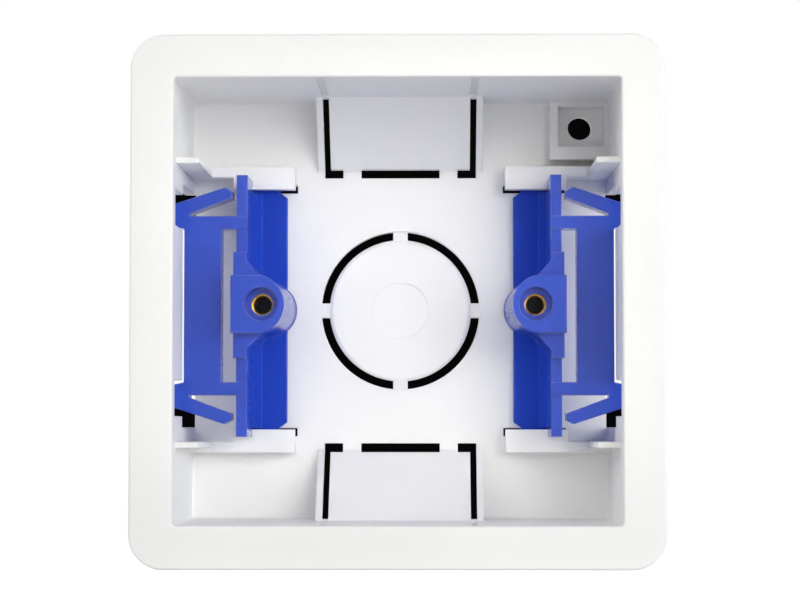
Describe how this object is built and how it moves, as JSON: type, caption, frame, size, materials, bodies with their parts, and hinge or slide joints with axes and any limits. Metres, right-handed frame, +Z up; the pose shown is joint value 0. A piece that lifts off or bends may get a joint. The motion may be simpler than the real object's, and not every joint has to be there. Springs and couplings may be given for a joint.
{
  "type": "drywall back box",
  "caption": "Square flanged wall box for plasterboard, with break-out cable knockouts and sliding retaining lugs whose threaded inserts take the faceplate screws.",
  "frame": {"origin": "centre of the flange's rear face, on the surface of the wall", "axes": "+Y into the wall, +X to the right and +Z up, seen from the room"},
  "size_m": [0.084, 0.035, 0.084],
  "materials": {
    "white_plastic": "satin moulded",
    "blue_plastic": "smooth moulded",
    "insert_brass": "machined"
  },
  "bodies": {
    "box": {"back_box": "white_plastic"},
    "left_lug": {"lug_left": "blue_plastic", "insert_left": "insert_brass"},
    "right_lug": {"lug_right": "blue_plastic", "insert_right": "insert_brass"}
  },
  "joints": [
    {"name": "left_lug_push", "type": "slide", "parent": "box", "child": "left_lug", "axis": [-1, 0, 0], "range_m": [0, 0.00805]},
    {"name": "right_lug_push", "type": "slide", "parent": "box", "child": "right_lug", "axis": [1, 0, 0], "range_m": [0, 0.00805]}
  ]
}
